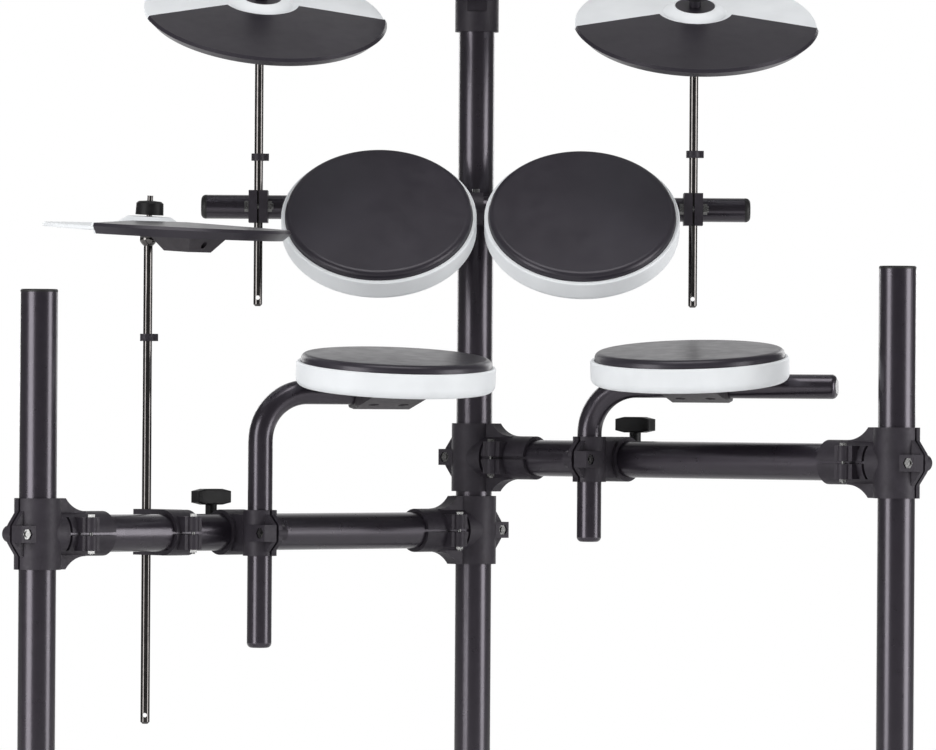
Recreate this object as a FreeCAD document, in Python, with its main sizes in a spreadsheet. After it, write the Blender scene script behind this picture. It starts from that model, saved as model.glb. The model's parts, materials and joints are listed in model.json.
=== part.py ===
"""Electronic drum kit: a three-post tube rack with four rubber pads, three cymbal pads and a sound module.

Millimetres. The origin is on the floor under the centre post, +X is the drummer's right, +Y points away
from the drummer and +Z is up.
"""
import FreeCAD
import Part
import Sketcher
import math
import os

DRIVING_SIZES = {
    # Tubes and rods
    "post_diameter": 38.1,
    "bar_diameter": 25.4,
    "tube_wall": 2.0,
    "cymbal_rod_diameter": 9.5,
    # Plan of the rack: each wing runs from the centre post towards the drummer
    "left_wing_reach": 592.0,
    "left_wing_angle": 42.0,
    "right_wing_reach": 550.0,
    "right_wing_angle": 38.8,
    # Heights: the left rail above the floor, and what stands above it in steps
    "left_rail_height": 510.0,
    "centre_clamp_gap": 5.0,
    "left_post_rise": 244.0,
    "right_post_rise": 197.0,
    "crossbar_rise": 263.0,
    "centre_post_rise": 222.0,
    # Crossbar in front of the centre post
    "crossbar_end": 55.0,
    "crossbar_offset": 36.0,
    # Clearances
    "tube_clearance": 0.05,
    "bolt_clearance": 0.2,
    "seat_gap": 0.3,
    # Feet and end plugs
    "foot_height": 22.0,
    "foot_flare": 5.0,
    "foot_bevel": 2.0,
    "foot_collar": 3.0,
    "plug_height": 3.0,
    "plug_bevel": 1.0,
    "plug_spigot": 14.0,
    "dome_height": 6.0,
    "dome_round": 5.1,
    # Tee clamps that join a rail to a post
    "sleeve_wall": 4.7,
    "sleeve_height": 72.0,
    "socket_wall": 3.7,
    "socket_reach": 84.0,
    "rail_setback": 23.0,
    "web_thickness": 16.0,
    "web_radius": 32.0,
    "ear_reach": 10.6,
    "ear_plate": 6.5,
    "ear_root": 46.0,
    "ear_round": 5.0,
    "ear_bolt_wall": 4.2,
    "ear_front": 17.6,
    "ear_rear": 13.5,
    "boss_width": 17.0,
    "clamp_gap": 3.0,
    "flap_setback": 26.0,
    "flap_height": 34.0,
    "lug_reach": 12.0,
    "lug_length": 22.0,
    "lug_height": 34.0,
    "lug_setback": 46.0,
    "lug_boss_diameter": 12.0,
    # Bolts
    "bolt_diameter": 6.0,
    "bolt_head_width": 10.0,
    "bolt_head_height": 4.5,
    "bolt_end": 1.5,
    "bolt_recess": 6.0,
    "lug_bolt_diameter": 4.0,
    "lug_bolt_head_width": 7.0,
    "lug_bolt_head_height": 2.8,
    # Rod clamps on the rails
    "ring_wall": 4.3,
    "ring_length": 32.0,
    "bar_sleeve_wall": 4.6,
    "bar_sleeve_height": 47.0,
    "bar_rod_offset": 45.0,
    "hi_hat_rod_offset": 46.0,
    "wing_bolt_setback": 33.0,
    "wing_bolt_diameter": 8.0,
    "wing_stem_diameter": 12.0,
    "wing_lug_length": 24.0,
    "wing_lug_height": 29.0,
    "wing_knob_clearance": 4.3,
    "wing_knob_width": 45.0,
    "wing_knob_height": 16.5,
    "wing_knob_thickness": 13.0,
    "wing_knob_crown": 2.2,
    "wing_knob_round": 2.0,
    "bar_ear_root": 38.0,
    "rod_clamp_web": 25.0,
    "hi_hat_clamp_setback": 180.0,
    "rod_clamp_spacing": 76.0,
    "floor_tom_clamp_distance": 190.0,
    # Bent pad rods
    "rod_long_leg": 257.0,
    "rod_short_leg": 157.0,
    "rod_bend_radius": 50.0,
    "snare_arm_rise": 145.0,
    "floor_tom_arm_rise": 77.0,
    "snare_arm_angle": 18.0,
    "floor_tom_arm_angle": 15.0,
    # Drum pads
    "pad_diameter": 205.0,
    "pad_rim_height": 25.5,
    "pad_rim_wall": 3.9,
    "pad_rim_lip": 9.5,
    "pad_rim_floor": 5.0,
    "pad_rim_bevel": 1.2,
    "pad_rim_round": 8.0,
    "pad_head_top": 34.8,
    "pad_head_depth": 17.0,
    "pad_head_round": 6.0,
    "pad_head_step": 2.0,
    "pad_head_taper": 0.6,
    "pad_head_crown": 0.8,
    "pad_rod_setback": 51.0,
    "pad_rod_drop": 9.4,
    "mount_width": 60.0,
    "mount_front": 22.0,
    "mount_wall": 4.1,
    "mount_lip": 6.0,
    "mount_bevel": 6.0,
    "mount_shoulder": 4.0,
    "mount_screw_diameter": 11.0,
    "mount_screw_spread": 32.0,
    "mount_screw_setback": 30.0,
    "snare_pad_distance": 128.5,
    "floor_tom_pad_distance": 119.5,
    "snare_tilt": 6.3,
    "floor_tom_tilt": 7.0,
    "tom_tilt": 44.0,
    "tom_gap": 8.0,
    "tom_shift": 5.0,
    # Cymbal rods and clamps
    "crash_rod_tail": 105.0,
    "ride_rod_tail": 103.5,
    "hi_hat_rod_tail": 197.5,
    "cymbal_rod_clearance": 15.0,
    "cymbal_rod_offset": 21.0,
    "rod_nose": 2.0,
    "cross_hole_diameter": 4.5,
    "cross_hole_height": 9.0,
    "collar_diameter": 15.5,
    "collar_height": 7.5,
    "collar_lug": 3.0,
    "collar_lug_width": 8.0,
    "collar_screw_diameter": 3.2,
    "crash_collar_rise": 52.0,
    "ride_collar_rise": 58.0,
    "hi_hat_collar_rise": 200.0,
    "rod_clamp_height": 34.0,
    "rod_clamp_width": 20.0,
    "rod_clamp_gap": 2.0,
    "rod_clamp_web_wall": 1.5,
    "rod_clamp_front_wall": 3.0,
    "bracket_width": 16.0,
    "bracket_wall": 4.2,
    "bracket_ear_root": 30.0,
    "screw_head_diameter": 7.5,
    "screw_head_height": 3.5,
    # Cymbal pads
    "cymbal_diameter": 254.0,
    "cymbal_hole_offset": 24.0,
    "bow_edge": 4.0,
    "bow_bevel": 1.0,
    "bow_swell": 3.5,
    "bow_lift": 10.0,
    "bell_height": 7.0,
    "bell_flat_diameter": 42.0,
    "bell_base_diameter": 76.0,
    "bell_foot": 8.0,
    "washer_depth": 2.0,
    "neck_wall": 1.2,
    "sector_angle": 145.0,
    "sector_inner_radius": 40.0,
    "rubber_cover": 3.2,
    "rubber_wrap": 2.0,
    "rubber_edge": 11.0,
    "rubber_bevel": 2.0,
    "rubber_undercut": 8.0,
    "rubber_band": 14.0,
    "sector_lip": 2.4,
    "ball_diameter": 18.0,
    "stud_diameter": 6.0,
    "stud_hole_diameter": 10.0,
    "stud_length": 44.0,
    "nut_diameter": 29.0,
    "nut_height": 15.0,
    "nut_crown": 3.0,
    "nut_taper": 0.5,
    "nut_gap": 1.6,
    "sensor_box_top": 62.0,
    "sensor_box_bottom": 34.0,
    "sensor_box_height": 19.0,
    "sensor_box_offset": 55.0,
    "jack_diameter": 7.0,
    "jack_drop": 11.4,
    "crash_pivot_rise": 200.0,
    "ride_pivot_rise": 194.0,
    "hi_hat_pivot_rise": 302.0,
    "crash_neck": 9.0,
    "ride_neck": 9.0,
    "hi_hat_neck": 0.0,
    "crash_tilt": 25.0,
    "ride_tilt": 26.0,
    "hi_hat_tilt": 3.2,
    "crash_yaw": 13.0,
    "ride_yaw": 2.0,
    "hi_hat_yaw": 50.0,
    # Sound module and its holder
    "holder_depth": 34.0,
    "holder_wall": 4.0,
    "fork_cheek": 6.0,
    "holder_recess_width": 27.0,
    "holder_recess_depth": 2.4,
    "holder_recess_lift": 21.0,
    "module_width": 180.0,
    "module_depth": 138.0,
    "module_height": 34.0,
    "module_tilt": 30.0,
    "module_pivot_rise": 20.0,
    "tongue_thickness": 14.0,
    "tongue_radius": 9.0,
    "module_floor_gap": 4.0,
    "module_brow": 14.0,
    "module_round": 4.0,
    "display_width": 46.0,
    "display_depth": 26.0,
    "display_recess": 1.5,
    "display_shift": 24.0,
    "dial_diameter": 38.0,
    "dial_height": 11.0,
    "dial_shift": 54.0,
    "volume_diameter": 20.0,
    "volume_height": 13.0,
    "volume_shift": 61.0,
    "knob_shift": 4.0,
    "knob_dish": 1.2,
}

OVERCUT = 2.0
TOLERANCE = 0.01
HALF_TURN = 180.0
AXIS_X = (1, 0, 0)
AXIS_Y = (0, 1, 0)
AXIS_Z = (0, 0, 1)

doc = FreeCAD.newDocument("DrumKit")
sheet = doc.addObject("Spreadsheet::Sheet", "Sizes")
nodes = {}


class Size:
    """A length or angle that knows its value and the sheet formula that drives it."""

    def __init__(self, value, formula):
        self.value = value
        self.formula = formula

    def __float__(self):
        return self.value

    def __neg__(self):
        return Size(-self.value, f"-({self.formula})")

    def __add__(self, other):
        return Size(self.value + float(other), f"({self.formula} + {text(other)})")

    def __radd__(self, other):
        return Size(float(other) + self.value, f"({text(other)} + {self.formula})")

    def __sub__(self, other):
        return Size(self.value - float(other), f"({self.formula} - {text(other)})")

    def __rsub__(self, other):
        return Size(float(other) - self.value, f"({text(other)} - {self.formula})")

    def __mul__(self, other):
        return Size(self.value * float(other), f"({self.formula} * {text(other)})")

    def __rmul__(self, other):
        return self * other

    def __truediv__(self, other):
        return Size(self.value / float(other), f"({self.formula} / {text(other)})")

    def __rtruediv__(self, other):
        return Size(float(other) / self.value, f"({text(other)} / {self.formula})")


def text(value):
    return value.formula if isinstance(value, Size) else repr(float(value))


def sine(angle):
    return Size(math.sin(math.radians(float(angle))), f"sin(({text(angle)}) * 1 deg)")


def cosine(angle):
    return Size(math.cos(math.radians(float(angle))), f"cos(({text(angle)}) * 1 deg)")


def fill_sheet():
    for row, (alias, value) in enumerate(DRIVING_SIZES.items(), start=1):
        sheet.set(f"A{row}", alias)
        sheet.set(f"B{row}", str(value))
        sheet.setAlias(f"B{row}", alias)
    doc.recompute()
    return {alias: Size(float(sheet.get(alias)), f"Sizes.{alias}") for alias in DRIVING_SIZES}


size = fill_sheet()
post_radius = size["post_diameter"] / 2
bar_radius = size["bar_diameter"] / 2
cymbal_rod_radius = size["cymbal_rod_diameter"] / 2
post_bore = post_radius + size["tube_clearance"]
bar_bore = bar_radius + size["tube_clearance"]
cymbal_rod_bore = cymbal_rod_radius + size["tube_clearance"]
sleeve_radius = post_bore + size["sleeve_wall"]
socket_radius = post_bore + size["socket_wall"]
ring_radius = post_bore + size["ring_wall"]
bar_sleeve_radius = bar_bore + size["bar_sleeve_wall"]
bolt_radius = size["bolt_diameter"] / 2
bolt_hole = bolt_radius + size["bolt_clearance"]
crossbar_y = -size["crossbar_offset"]
left_rail_z = size["left_rail_height"]
right_rail_z = left_rail_z + size["sleeve_height"] + size["centre_clamp_gap"]
crossbar_z = right_rail_z + size["crossbar_rise"]
centre_post_top = crossbar_z + size["centre_post_rise"]
module_pivot_z = centre_post_top + size["module_pivot_rise"]
tom_reach = (size["pad_diameter"] + size["tom_gap"]) / 2
rod_spread = size["tom_shift"] + tom_reach + size["pad_diameter"] / 2 + size["cymbal_rod_clearance"]
crossbar_half = rod_spread + size["crossbar_end"]
cymbal_radius = size["cymbal_diameter"] / 2
bell_core = size["bell_flat_diameter"] / 2
bow_half_edge = size["bow_edge"] / 2
bow_half_core = bow_half_edge + size["bow_swell"]


def vector(point):
    return FreeCAD.Vector(*[float(value) for value in point])


def turn(angle, axis=AXIS_Z):
    return FreeCAD.Rotation(vector(axis), float(angle))


def place(point=(0, 0, 0), rotation=None):
    return FreeCAD.Placement(vector(point), rotation or FreeCAD.Rotation())


def bind(thing, name, value):
    if isinstance(value, Size):
        thing.setExpression(name, value.formula)
    setattr(thing, name, float(value))


def cylinder(radius, height, at=(0, 0, 0), axis=AXIS_Z):
    thing = doc.addObject("Part::Cylinder", "Cylinder")
    bind(thing, "Radius", radius)
    bind(thing, "Height", height)
    thing.Placement = place(at, FreeCAD.Rotation(vector(AXIS_Z), vector(axis)))
    return thing


def box(length, width, height, centre=(0, 0, 0)):
    thing = doc.addObject("Part::Box", "Box")
    half = []
    for name, value in (("Length", length), ("Width", width), ("Height", height)):
        bind(thing, name, value)
        half.append(float(value) / 2)
    thing.Placement = place(vector(centre) - vector(half))
    return thing


def sphere(radius, at=(0, 0, 0)):
    thing = doc.addObject("Part::Sphere", "Sphere")
    bind(thing, "Radius", radius)
    thing.Placement = place(at)
    return thing


def fuse(*things):
    thing = doc.addObject("Part::MultiFuse", "Fusion")
    thing.Shapes = list(things)
    thing.Refine = True
    return thing


def cut(base, *tools):
    thing = doc.addObject("Part::Cut", "Cut")
    thing.Base = base
    thing.Tool = tools[0] if len(tools) == 1 else fuse(*tools)
    return thing


def common(first, second):
    thing = doc.addObject("Part::MultiCommon", "Common")
    thing.Shapes = [first, second]
    return thing


def group(*things):
    thing = doc.addObject("Part::Compound", "Group")
    thing.Links = list(things)
    return thing


def moved(thing, placement):
    thing.Placement = placement.multiply(thing.Placement)
    return thing


def node(label, thing, placement=None):
    thing.Label = label
    if placement:
        moved(thing, placement)
    nodes[label] = thing
    return thing


def sketch_on(body, role, points):
    """Closed outline of straight lines whose corners are held by sheet-driven distances."""
    sketch = body.newObject("Sketcher::SketchObject", "Outline")
    plane = next(item for item in body.Origin.OriginFeatures if item.Role == role)
    sketch.AttachmentSupport = [(plane, "")]
    sketch.MapMode = "FlatFace"
    corners = [vector((across, up, 0)) for across, up in points]
    count = len(corners)
    for index in range(count):
        sketch.addGeometry(Part.LineSegment(corners[index], corners[(index + 1) % count]), False)
    for index in range(count):
        sketch.addConstraint(Sketcher.Constraint("Coincident", index, 2, (index + 1) % count, 1))
    for index, (across, up) in enumerate(points):
        for kind, axis, distance in (("DistanceX", -2, across), ("DistanceY", -1, up)):
            if float(distance) == 0:
                sketch.addConstraint(Sketcher.Constraint("PointOnObject", index, 1, axis))
                continue
            number = sketch.addConstraint(Sketcher.Constraint(kind, -1, 1, index, 1, float(distance)))
            if isinstance(distance, Size):
                sketch.setExpression(f"Constraints[{number}]", distance.formula)
    return sketch


def revolved(points):
    """Body turned about Z from an outline of (radius, height) corners."""
    body = doc.addObject("PartDesign::Body", "Turned")
    sketch = sketch_on(body, "XZ_Plane", points)
    feature = body.newObject("PartDesign::Revolution", "Revolution")
    feature.Profile = sketch
    feature.ReferenceAxis = (sketch, ["V_Axis"])
    feature.Angle = 2 * HALF_TURN
    return body


def padded(points, thickness, role="YZ_Plane"):
    """Body of even thickness, centred on its sketch plane."""
    body = doc.addObject("PartDesign::Body", "Padded")
    sketch = sketch_on(body, role, points)
    feature = body.newObject("PartDesign::Pad", "Pad")
    feature.Profile = sketch
    feature.Midplane = True
    bind(feature, "Length", thickness)
    return body


def rounded(body, radius, pick):
    doc.recompute()
    base = body.Tip
    edges = [f"Edge{index}" for index, edge in enumerate(base.Shape.Edges, start=1) if pick(edge)]
    feature = body.newObject("PartDesign::Fillet", "Rounding")
    feature.Base = (base, edges)
    bind(feature, "Radius", radius)
    return body


def circle_at(radius, height):
    """Picks the round edge of one radius at one height."""
    def pick(edge):
        curve = edge.Curve
        if not isinstance(curve, Part.Circle):
            return False
        return (abs(curve.Radius - float(radius)) < TOLERANCE
                and abs(curve.Center.z - float(height)) < TOLERANCE)
    return pick


def tube(outer, length, at=(0, 0, 0), axis=AXIS_Z):
    return cut(cylinder(outer, length, at, axis), cylinder(outer - size["tube_wall"], length, at, axis))


def hex_bolt(grip, at, axis, kind="bolt"):
    """Hexagon bolt with its nut: the head sits at the start of the grip. A lug_bolt is the smaller kind."""
    head = size[f"{kind}_head_height"]
    width = size[f"{kind}_head_width"]
    thing = fuse(
        hexagon(width, head, (0, 0, -head), AXIS_Z),
        hexagon(width, head, (0, 0, grip), AXIS_Z),
        cylinder(size[f"{kind}_diameter"] / 2, grip + head + size["bolt_end"], (0, 0, 0)),
    )
    thing.Placement = place(at, FreeCAD.Rotation(vector(AXIS_Z), vector(axis)))
    return thing


def dome_plug(radius):
    """End plug with a rounded outer face, its spigot reaching down into the tube from z = 0."""
    inside = radius - size["tube_wall"] - size["tube_clearance"]
    height = size["dome_height"]
    body = revolved([(0, -size["plug_spigot"]), (inside, -size["plug_spigot"]), (inside, 0),
                     (radius, 0), (radius, height), (0, height)])
    return rounded(body, size["dome_round"], circle_at(radius, height))


def hexagon(width, height, at, axis):
    """Six-sided prism, width across its flats."""
    prism = doc.addObject("Part::Prism", "Hexagon")
    prism.Polygon = 6
    bind(prism, "Circumradius", width / math.sqrt(3))
    bind(prism, "Height", height)
    prism.Placement = place(at, FreeCAD.Rotation(vector(AXIS_Z), vector(axis)))
    return prism


def split_ears(sleeve, bore, root, front):
    """Ears on the -X side of a split upright sleeve, bolted across the split, which lies on y = 0.

    The front side, +Y or -Y, has a square boss and the other side a round one, each with a hexagon
    recess that holds the bolt's head or nut. Returns the solids, the cuts and the bolt.
    """
    tip = sleeve + size["ear_reach"]
    boss = size["boss_width"]
    recess = size["bolt_recess"]
    bolt_x = -(bore + size["ear_bolt_wall"] + bolt_hole)
    plates = padded([(0, root / 2), (-sleeve, root / 2), (-tip, boss / 2), (-tip, -boss / 2),
                     (-sleeve, -root / 2), (0, -root / 2)], 2 * size["ear_plate"], "XZ_Plane")
    plates = rounded(plates, size["ear_round"], lambda edge: all(
        abs(corner.X + float(tip)) < TOLERANCE for corner in edge.Vertexes) and abs(edge.tangentAt(0).y) > 0.5)
    solids = [
        plates,
        box(tip, size["ear_front"], boss, (-tip / 2, front * size["ear_front"] / 2, 0)),
        cylinder(boss / 2, size["ear_rear"], (bolt_x, 0, 0), (0, -front, 0)),
    ]
    span = size["ear_front"] + size["ear_rear"]
    pocket = size["bolt_head_width"] + 2 * size["bolt_clearance"]
    cuts = [
        box(tip, size["clamp_gap"], root + 2 * sleeve, (-bore - tip / 2 + OVERCUT, 0, 0)),
        cylinder(bolt_hole, 2 * span, (bolt_x, -span, 0), AXIS_Y),
        hexagon(pocket, recess, (bolt_x, front * (size["ear_front"] - recess), 0), (0, front, 0)),
        hexagon(pocket, recess, (bolt_x, -front * (size["ear_rear"] - recess), 0), (0, -front, 0)),
    ]
    bolt = hex_bolt(span - 2 * recess, (bolt_x, front * (recess - size["ear_rear"]), 0), (0, front, 0))
    return solids, cuts, bolt


def bolt_lugs(ring, front, at):
    """Lugs on one side of a ring along X, split on z = 0 and held by an upright bolt at one place along it.

    Returns the solids, the bolt's hole and the bolt.
    """
    height = size["lug_height"]
    bolt_y = front * (ring + size["lug_reach"] / 2)
    solids = [
        box(size["lug_length"], ring + size["lug_reach"] / 2, height, (at, bolt_y / 2, 0)),
        cylinder(size["lug_boss_diameter"] / 2, height, (at, bolt_y, -height / 2)),
    ]
    hole = cylinder(size["lug_bolt_diameter"] / 2 + size["bolt_clearance"], 2 * height, (at, bolt_y, -height))
    return solids, hole, hex_bolt(height, (at, bolt_y, height / 2), (0, 0, -1), "lug_bolt")


def tee_clamp(label, front, placement):
    """Moulded clamp with an upright sleeve on a post and a socket along +X for a rail.

    The sleeve is split opposite the rail. The socket has a flap on the drummer's side, +Y or -Y as
    front says, which a T-shaped slit frees from the sleeve. Returns its two bolts.
    """
    height = size["sleeve_height"]
    gap = size["clamp_gap"]
    web_reach = sleeve_radius + size["web_radius"]
    web = box(web_reach, size["web_thickness"], height, (web_reach / 2, 0, 0))
    scoops = []
    for side in (-1, 1):
        centre = (web_reach, -size["web_thickness"], side * (socket_radius + size["web_radius"]))
        scoops.append(cylinder(size["web_radius"], 2 * size["web_thickness"], centre, AXIS_Y))
    ear_solids, ear_cuts, ear_bolt = split_ears(sleeve_radius, post_bore, size["ear_root"], front)
    lug_solids, lug_hole, lug_bolt = bolt_lugs(socket_radius, front, size["lug_setback"])
    solid = fuse(
        cylinder(sleeve_radius, height, (0, 0, -height / 2)),
        cylinder(socket_radius, size["socket_reach"], axis=AXIS_X),
        cut(web, *scoops),
        *ear_solids,
        *lug_solids,
    )
    slit_length = size["socket_reach"] - size["flap_setback"] + OVERCUT
    slit_depth = socket_radius + size["lug_reach"]
    slit_y = front * (slit_depth / 2 + post_radius / 2)
    bores = [
        cylinder(post_bore, height + 2 * OVERCUT, (0, 0, -height / 2 - OVERCUT)),
        cylinder(post_bore, size["socket_reach"], (post_radius, 0, 0), AXIS_X),
        box(slit_length, slit_depth, gap, (size["flap_setback"] + slit_length / 2, slit_y, 0)),
        box(gap, slit_depth, size["flap_height"], (size["flap_setback"], slit_y, 0)),
        lug_hole,
        *ear_cuts,
    ]
    node(label, cut(solid, *bores), placement)
    return [moved(bolt, placement) for bolt in (ear_bolt, lug_bolt)]


def bar_rod_clamp(label, front, placement):
    """Clamp on a rail along X that holds an upright pad rod on the +Y side, where its sleeve is split.

    The sleeve's square boss is on the +X or -X side, as front says. Returns its sleeve bolt.
    """
    length = size["ring_length"]
    height = size["bar_sleeve_height"]
    offset = size["bar_rod_offset"]
    lug_reach = size["wing_bolt_setback"] + size["wing_bolt_diameter"]
    spot = place((0, offset, 0), turn(-HALF_TURN / 2))
    ear_solids, ear_cuts, bolt = split_ears(bar_sleeve_radius, bar_bore, size["bar_ear_root"], front)
    for thing in ear_solids + ear_cuts + [bolt]:
        moved(thing, spot)
    solid = fuse(
        cylinder(ring_radius, length, (-length / 2, 0, 0), AXIS_X),
        cylinder(bar_sleeve_radius, height, (0, offset, -height / 2)),
        box(size["rod_clamp_web"], offset, size["bar_ear_root"], (0, offset / 2, 0)),
        box(size["wing_lug_length"], lug_reach, size["wing_lug_height"], (0, -lug_reach / 2, 0)),
        *ear_solids,
    )
    wing_hole = size["wing_bolt_diameter"] / 2 + size["tube_clearance"]
    bores = [
        cylinder(post_bore, length * 2, (-length, 0, 0), AXIS_X),
        cylinder(bar_bore, height * 2, (0, offset, -height)),
        box(length * 2, lug_reach, size["clamp_gap"], (0, -post_radius - lug_reach / 2 + OVERCUT, 0)),
        cylinder(wing_hole, height * 2, (0, -size["wing_bolt_setback"], -height)),
        *ear_cuts,
    ]
    node(label, cut(solid, *bores), placement)
    return moved(bolt, placement)


def wing_bolt(label, placement):
    """Bolt with a T-shaped hand knob, standing in the split lugs of a pad rod clamp."""
    radius = size["wing_bolt_diameter"] / 2
    stem = size["wing_stem_diameter"] / 2
    lug_top = size["wing_lug_height"] / 2
    foot = -lug_top - size["wing_bolt_diameter"] / 2
    low = ring_radius + size["wing_knob_clearance"]
    high = low + size["wing_knob_height"]
    half = size["wing_knob_width"] / 2
    crown = size["wing_knob_crown"]
    shaft = revolved([(0, foot), (radius, foot), (radius, lug_top), (stem, lug_top), (stem, low + crown),
                      (0, low + crown)])
    grip = padded([(-half, low + crown), (-half / 2, low), (half / 2, low), (half, low + crown),
                   (half, high - crown), (half / 2, high), (-half / 2, high), (-half, high - crown)],
                  size["wing_knob_thickness"], "XZ_Plane")
    grip = rounded(grip, size["wing_knob_round"],
                   lambda edge: abs(edge.tangentAt(0).y) < 0.5 and edge.Length > TOLERANCE)
    node(label, fuse(shaft, grip), placement.multiply(place((0, -size["wing_bolt_setback"], 0))))


def hi_hat_rod_clamp(label, placement):
    """Clamp on a rail along X with a narrow rod bore behind it on the -Y side. Returns its lug bolt."""
    length = size["ring_length"]
    height = size["bar_sleeve_height"]
    offset = size["hi_hat_rod_offset"]
    back = offset + cymbal_rod_radius + size["ring_wall"]
    lug_reach = ring_radius + size["lug_reach"]
    lug_solids, lug_hole, bolt = bolt_lugs(ring_radius, 1, 0)
    solid = fuse(
        cylinder(ring_radius, length, (-length / 2, 0, 0), AXIS_X),
        box(size["rod_clamp_width"], back, height, (0, -back / 2, 0)),
        *lug_solids,
    )
    bores = [
        cylinder(post_bore, length * 2, (-length, 0, 0), AXIS_X),
        cylinder(cymbal_rod_bore, height * 2, (0, -offset, -height)),
        box(length * 2, lug_reach, size["clamp_gap"], (0, post_radius + lug_reach / 2 - OVERCUT, 0)),
        lug_hole,
    ]
    node(label, cut(solid, *bores), placement)
    return moved(bolt, placement)


def foot_plug():
    """Rubber foot under a post, its spigot up inside the tube."""
    inside = post_radius - size["tube_wall"] - size["tube_clearance"]
    flare = post_radius + size["foot_flare"]
    height = size["foot_height"]
    top = height + size["plug_spigot"]
    bevel = size["foot_bevel"]
    collar = height - size["foot_collar"]
    return revolved([(0, 0), (flare - bevel, 0), (flare, bevel), (post_radius + bevel, collar),
                     (post_radius, height), (inside, height), (inside, top), (0, top)])


def cap_plug(top):
    """Thin cap in the top of a post."""
    inside = post_radius - size["tube_wall"] - size["tube_clearance"]
    bottom = top - size["plug_spigot"]
    rim = top + size["plug_height"]
    bevel = size["plug_bevel"]
    return revolved([(0, bottom), (inside, bottom), (inside, top), (post_radius, top),
                     (post_radius, rim - bevel), (post_radius - bevel, rim), (0, rim)])


def post(top):
    return tube(post_radius, top - size["foot_height"], (0, 0, size["foot_height"]))


def wing(side, angle, reach, rail_height, post_top):
    """Rail, outer post and their clamps. The wing heads from the centre post along angle."""
    heading = place(rotation=turn(angle))
    outer = heading.multiply(place((reach, 0, 0)))
    level = place((0, 0, rail_height))
    setback = size["rail_setback"]
    node(f"{side}_rail", tube(post_radius, reach - 2 * setback, (setback, 0, 0), AXIS_X),
         heading.multiply(level))
    node(f"{side}_post", post(post_top), outer)
    node(f"{side}_post_plugs", group(foot_plug(), cap_plug(post_top)), outer)
    front = 1 if side == "left" else -1
    bolts = tee_clamp(f"{side}_centre_clamp", front, heading.multiply(level))
    bolts += tee_clamp(f"{side}_post_clamp", -front,
                       outer.multiply(level).multiply(place(rotation=turn(HALF_TURN))))
    return bolts


def rail_point(angle, distance, height, faces):
    """Frame on a rail with +Y towards the drummer."""
    spot = place(rotation=turn(angle)).multiply(place((distance, 0, height)))
    return spot if faces > 0 else spot.multiply(place(rotation=turn(HALF_TURN)))


def bent_rod(label, upright, arm, placement):
    """Bent pad rod with its corner at the origin, one leg down and the arm along +X, plugged at both ends."""
    bend = size["rod_bend_radius"]
    shells = []
    for radius in (bar_radius, bar_radius - size["tube_wall"]):
        elbow = doc.addObject("Part::Torus", "Elbow")
        bind(elbow, "Radius1", bend)
        bind(elbow, "Radius2", radius)
        elbow.Angle3 = HALF_TURN / 2
        elbow.Placement = place((bend, 0, -bend), turn(HALF_TURN / 2, AXIS_X)).multiply(
            place(rotation=turn(HALF_TURN / 2)))
        leg = cylinder(radius, upright - bend, (0, 0, -upright))
        reach = cylinder(radius, arm - bend, (bend, 0, 0), AXIS_X)
        shells.append(fuse(elbow, leg, reach))
    lower = dome_plug(bar_radius)
    lower.Placement = place((0, 0, -upright), turn(HALF_TURN, AXIS_X))
    outer = dome_plug(bar_radius)
    outer.Placement = place((arm, 0, 0), turn(HALF_TURN / 2, AXIS_Y))
    node(label, group(cut(*shells), lower, outer), placement)


def pad(name, bar_point, heading, tilt):
    """Drum pad on a bar: rubber head, white rim, and base with the mount that grips the bar.

    In the pad's own frame the rim stands on z = 0. The bar lies along X behind the centre, sunk into the
    underside, so the rim is notched where it crosses.
    """
    rim_radius = size["pad_diameter"] / 2
    inner = rim_radius - size["pad_rim_wall"]
    head_radius = inner - size["seat_gap"]
    rim_top = size["pad_rim_height"]
    floor = size["pad_rim_floor"]
    head_top = size["pad_head_top"]
    head_bottom = head_top - size["pad_head_depth"]
    lip = rim_radius - size["pad_rim_lip"]
    setback = size["pad_rod_setback"]
    drop = size["pad_rod_drop"]
    frame = place(bar_point, turn(heading)).multiply(place(rotation=turn(tilt, AXIS_X)))
    frame = frame.multiply(place((0, -setback, drop)))

    brow_radius = head_radius - size["pad_head_taper"]
    brow_z = head_top - size["pad_head_crown"]
    head = revolved([(0, head_bottom), (head_radius, head_bottom),
                     (head_radius, rim_top - size["pad_head_step"]), (brow_radius, brow_z), (0, head_top)])
    head = rounded(head, size["pad_head_round"], circle_at(brow_radius, brow_z))
    node(f"{name}_head", head, frame)

    bar_hole = cylinder(bar_bore, size["pad_diameter"], (-rim_radius, setback, -drop), AXIS_X)
    bevel = size["pad_rim_bevel"]
    rim = revolved([(lip, 0), (rim_radius, 0), (rim_radius, rim_top - bevel), (rim_radius - bevel, rim_top),
                    (inner, rim_top), (inner, floor), (lip, floor)])
    rim = rounded(rim, size["pad_rim_round"], circle_at(rim_radius, 0))
    node(f"{name}_rim", cut(rim, bar_hole), frame)

    plate = cylinder(head_radius, head_bottom - floor, (0, 0, floor))
    spine = cylinder(lip - size["seat_gap"], floor)
    low = -(drop + bar_radius + size["mount_wall"])
    back = setback + bar_radius + size["mount_wall"]
    slant = size["mount_bevel"]
    block = padded([(-size["mount_front"], floor), (-size["mount_front"], -size["mount_lip"]),
                    (setback - slant, low), (back - slant, low), (back, low + slant),
                    (back, floor - size["mount_shoulder"]), (back - size["mount_shoulder"], floor)],
                   size["mount_width"])
    screw_y = setback - size["mount_screw_setback"]
    screw_x = size["mount_screw_spread"] / 2
    holes = [cylinder(size["mount_screw_diameter"] / 2, -low, (side * screw_x, screw_y, low)) for side in (-1, 1)]
    node(f"{name}_base", cut(fuse(plate, spine, block), bar_hole, *holes), frame)


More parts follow.
